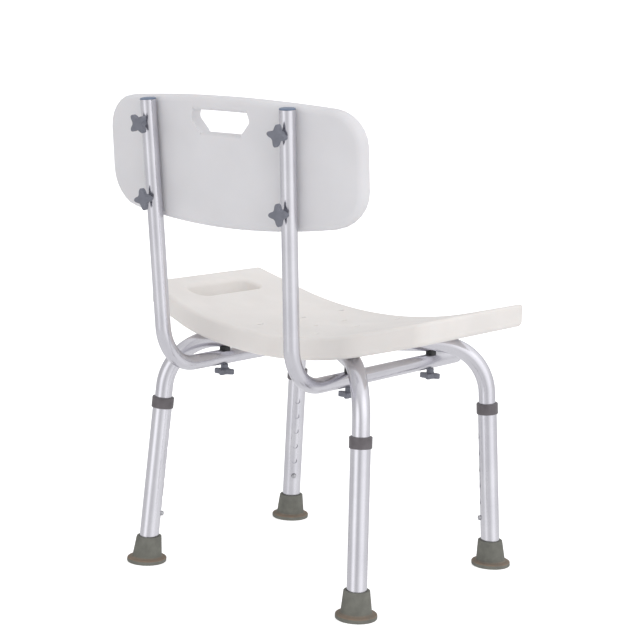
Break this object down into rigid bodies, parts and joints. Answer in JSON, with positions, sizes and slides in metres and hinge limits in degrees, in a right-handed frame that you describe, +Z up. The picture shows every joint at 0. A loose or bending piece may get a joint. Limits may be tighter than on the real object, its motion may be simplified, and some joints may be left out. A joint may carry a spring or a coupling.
{
  "type": "shower chair",
  "caption": "Height-adjustable shower chair: crossed aluminium leg tubes under a dished plastic seat with side grips, and a backrest clamped to two rear posts by star knobs.",
  "frame": {"origin": "on the floor, under the middle of the whole chair's bounding box", "axes": "+Z up, the sitter faces -Y, +X is the sitter's left"},
  "size_m": [0.5, 0.5069, 0.7067],
  "materials": {
    "satin_aluminium": "satin anodised tube",
    "white_polyethylene": "blow-moulded, fine matt grain",
    "slate_grey_nylon": "moulded, satin",
    "warm_grey_nylon": "moulded, satin",
    "grey_rubber": "moulded, matt",
    "blue_grey_nylon": "moulded, satin",
    "black_nylon": "moulded, matt",
    "bright_steel": "zinc plated",
    "brass": "turned"
  },
  "bodies": {
    "root": {"backrest_panel": "white_polyethylene", "button_spring_front_left": "bright_steel", "button_spring_front_right": "bright_steel", "button_spring_rear_left": "bright_steel", "button_spring_rear_right": "bright_steel", "crossing_rivet": "bright_steel", "frame_tube_lower": "satin_aluminium", "frame_tube_upper": "satin_aluminium", "front_plug_left": "blue_grey_nylon", "front_plug_right": "blue_grey_nylon", "insert_back_high_left": "brass", "insert_back_high_right": "brass", "insert_back_low_left": "brass", "insert_back_low_right": "brass", "insert_seat_front_left": "brass", "insert_seat_front_right": "brass", "insert_seat_rear_left": "brass", "insert_seat_rear_right": "brass", "l_tube_left": "satin_aluminium", "l_tube_right": "satin_aluminium", "post_cap_left": "blue_grey_nylon", "post_cap_right": "blue_grey_nylon", "saddle_front_left": "black_nylon", "saddle_front_right": "black_nylon", "saddle_rear_left": "black_nylon", "saddle_rear_right": "black_nylon", "seat_panel": "white_polyethylene"},
    "leg_rear_left": {"leg_tube_rear_left": "satin_aluminium", "leg_collar_rear_left": "warm_grey_nylon", "foot_tip_rear_left": "grey_rubber"},
    "button_rear_left": {"snap_button_rear_left": "bright_steel"},
    "leg_rear_right": {"leg_tube_rear_right": "satin_aluminium", "leg_collar_rear_right": "warm_grey_nylon", "foot_tip_rear_right": "grey_rubber"},
    "button_rear_right": {"snap_button_rear_right": "bright_steel"},
    "leg_front_left": {"leg_tube_front_left": "satin_aluminium", "leg_collar_front_left": "warm_grey_nylon", "foot_tip_front_left": "grey_rubber"},
    "button_front_left": {"snap_button_front_left": "bright_steel"},
    "leg_front_right": {"leg_tube_front_right": "satin_aluminium", "leg_collar_front_right": "warm_grey_nylon", "foot_tip_front_right": "grey_rubber"},
    "button_front_right": {"snap_button_front_right": "bright_steel"},
    "knob_seat_rear_left": {"knob_seat_rear_left": "slate_grey_nylon", "stud_seat_rear_left": "bright_steel"},
    "knob_seat_rear_right": {"knob_seat_rear_right": "slate_grey_nylon", "stud_seat_rear_right": "bright_steel"},
    "knob_seat_front_left": {"knob_seat_front_left": "slate_grey_nylon", "stud_seat_front_left": "bright_steel"},
    "knob_seat_front_right": {"knob_seat_front_right": "slate_grey_nylon", "stud_seat_front_right": "bright_steel"},
    "knob_back_low_left": {"knob_back_low_left": "slate_grey_nylon", "stud_back_low_left": "bright_steel"},
    "knob_back_low_right": {"knob_back_low_right": "slate_grey_nylon", "stud_back_low_right": "bright_steel"},
    "knob_back_high_left": {"knob_back_high_left": "slate_grey_nylon", "stud_back_high_left": "bright_steel"},
    "knob_back_high_right": {"knob_back_high_right": "slate_grey_nylon", "stud_back_high_right": "bright_steel"}
  },
  "joints": [
    {"name": "leg_height_rear_left", "type": "slide", "parent": "root", "child": "leg_rear_left", "axis": [0.0557, 0.0502, -0.9972], "range_m": [0, 0.127]},
    {"name": "leg_height_rear_right", "type": "slide", "parent": "root", "child": "leg_rear_right", "axis": [-0.0557, 0.0502, -0.9972], "range_m": [0, 0.127]},
    {"name": "leg_height_front_left", "type": "slide", "parent": "root", "child": "leg_front_left", "axis": [0.0557, -0.0502, -0.9972], "range_m": [0, 0.127]},
    {"name": "leg_height_front_right", "type": "slide", "parent": "root", "child": "leg_front_right", "axis": [-0.0557, -0.0502, -0.9972], "range_m": [0, 0.127]},
    {"name": "button_press_rear_left", "type": "slide", "parent": "root", "child": "button_rear_left", "axis": [0.7403, 0.6681, 0.075], "range_m": [0, 0.0042], "stiffness_N_per_m": 1500, "springref_m": -0.002, "deforming": ["button_spring_rear_left", "snap_button_rear_left"]},
    {"name": "button_press_rear_right", "type": "slide", "parent": "root", "child": "button_rear_right", "axis": [-0.7403, 0.6681, 0.075], "range_m": [0, 0.0042], "stiffness_N_per_m": 1500, "springref_m": -0.002, "deforming": ["button_spring_rear_right", "snap_button_rear_right"]},
    {"name": "button_press_front_left", "type": "slide", "parent": "root", "child": "button_front_left", "axis": [0.7403, -0.6681, 0.075], "range_m": [0, 0.0042], "stiffness_N_per_m": 1500, "springref_m": -0.002, "deforming": ["button_spring_front_left", "snap_button_front_left"]},
    {"name": "button_press_front_right", "type": "slide", "parent": "root", "child": "button_front_right", "axis": [-0.7403, -0.6681, 0.075], "range_m": [0, 0.0042], "stiffness_N_per_m": 1500, "springref_m": -0.002, "deforming": ["button_spring_front_right", "snap_button_front_right"]},
    {"name": "knob_turn_seat_rear_left", "type": "hinge", "parent": "root", "child": "knob_seat_rear_left", "pos_m": [0.1145, 0.05524, 0.3036], "axis": [0, 0, -1], "continuous": true},
    {"name": "knob_turn_seat_rear_right", "type": "hinge", "parent": "root", "child": "knob_seat_rear_right", "pos_m": [-0.1145, 0.05524, 0.3036], "axis": [0, 0, -1], "continuous": true},
    {"name": "knob_turn_seat_front_left", "type": "hinge", "parent": "root", "child": "knob_seat_front_left", "pos_m": [0.1145, -0.15144, 0.3036], "axis": [0, 0, -1], "continuous": true},
    {"name": "knob_turn_seat_front_right", "type": "hinge", "parent": "root", "child": "knob_seat_front_right", "pos_m": [-0.1145, -0.15144, 0.3036], "axis": [0, 0, -1], "continuous": true},
    {"name": "knob_turn_back_low_left", "type": "hinge", "parent": "root", "child": "knob_back_low_left", "pos_m": [0.11929, 0.22526, 0.55919], "axis": [0, 0.9938, -0.1115], "continuous": true},
    {"name": "knob_turn_back_low_right", "type": "hinge", "parent": "root", "child": "knob_back_low_right", "pos_m": [-0.11929, 0.22526, 0.55919], "axis": [0, 0.9938, -0.1115], "continuous": true},
    {"name": "knob_turn_back_high_left", "type": "hinge", "parent": "root", "child": "knob_back_high_left", "pos_m": [0.12133, 0.23697, 0.66354], "axis": [0, 0.9938, -0.1115], "continuous": true},
    {"name": "knob_turn_back_high_right", "type": "hinge", "parent": "root", "child": "knob_back_high_right", "pos_m": [-0.12133, 0.23697, 0.66354], "axis": [0, 0.9938, -0.1115], "continuous": true}
  ]
}
